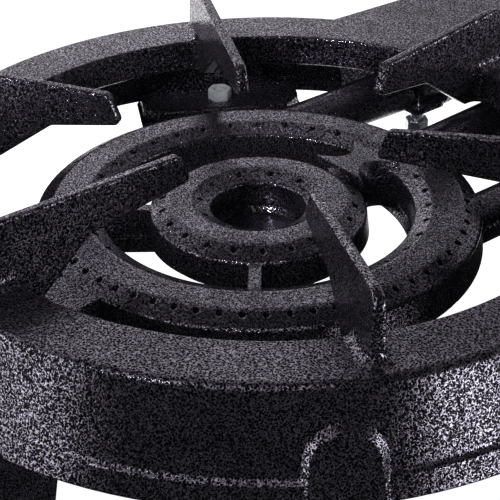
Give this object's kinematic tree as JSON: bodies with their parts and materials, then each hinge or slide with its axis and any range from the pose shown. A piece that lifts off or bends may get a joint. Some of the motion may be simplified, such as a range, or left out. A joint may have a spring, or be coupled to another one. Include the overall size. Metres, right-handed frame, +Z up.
{
  "type": "gas stockpot burner",
  "caption": "Low gas stockpot burner: cast iron ring frame on legs with pot arms, a two-ring burner with mixing tubes and air shutters, and a front console with taps, knobs and a gas rail.",
  "frame": {"origin": "on the floor under the middle of the overall box", "axes": "+Z up, -Y towards the console and its knobs, +X to the left of someone who faces the knobs"},
  "size_m": [0.4334, 0.5308, 0.1841],
  "materials": {
    "hammertone_iron": "black hammertone paint",
    "zinc": "zinc plated",
    "brass": "turned, dull",
    "steel": "plain steel",
    "knob_black": "moulded, matt"
  },
  "bodies": {
    "frame": {"support_frame": "hammertone_iron", "burner": "hammertone_iron", "leg_back": "hammertone_iron", "leg_right": "hammertone_iron", "leg_left": "hammertone_iron", "leg_bolts": "zinc", "leg_nuts": "zinc", "leg_washers": "zinc", "lug_bolt": "zinc", "lug_nut": "zinc", "tube_studs": "zinc", "tube_nuts": "zinc", "injectors": "brass", "panel_nuts": "brass", "hose_nozzle": "brass", "rail_plug": "brass", "tap_body_right": "brass", "tap_body_centre": "brass", "tap_body_left": "brass", "gas_rail": "steel"},
    "tap_right": {"knob_right": "knob_black", "tap_spindle_right": "brass"},
    "shutter_right": {"air_shutter_right": "steel"},
    "tap_centre": {"knob_centre": "knob_black", "tap_spindle_centre": "brass"},
    "shutter_centre": {"air_shutter_centre": "steel"},
    "tap_left": {"knob_left": "knob_black", "tap_spindle_left": "brass"},
    "shutter_left": {"air_shutter_left": "steel"}
  },
  "joints": [
    {"name": "tap_turn_right", "type": "hinge", "parent": "frame", "child": "tap_right", "pos_m": [-0.0694, -0.24335, 0.113], "axis": [0, -1, 0], "range_deg": [0, 90]},
    {"name": "tap_turn_centre", "type": "hinge", "parent": "frame", "child": "tap_centre", "pos_m": [0.0046, -0.24335, 0.113], "axis": [0, -1, 0], "range_deg": [0, 90]},
    {"name": "tap_turn_left", "type": "hinge", "parent": "frame", "child": "tap_left", "pos_m": [0.0786, -0.24335, 0.113], "axis": [0, -1, 0], "range_deg": [0, 90]},
    {"name": "shutter_turn_right", "type": "hinge", "parent": "frame", "child": "shutter_right", "pos_m": [-0.0694, -0.16735, 0.113], "axis": [0, -1, 0], "range_deg": [0, 90]},
    {"name": "shutter_turn_centre", "type": "hinge", "parent": "frame", "child": "shutter_centre", "pos_m": [0.0046, -0.16735, 0.113], "axis": [0, -1, 0], "range_deg": [0, 90]},
    {"name": "shutter_turn_left", "type": "hinge", "parent": "frame", "child": "shutter_left", "pos_m": [0.0786, -0.16735, 0.113], "axis": [0, -1, 0], "range_deg": [0, 90]}
  ]
}
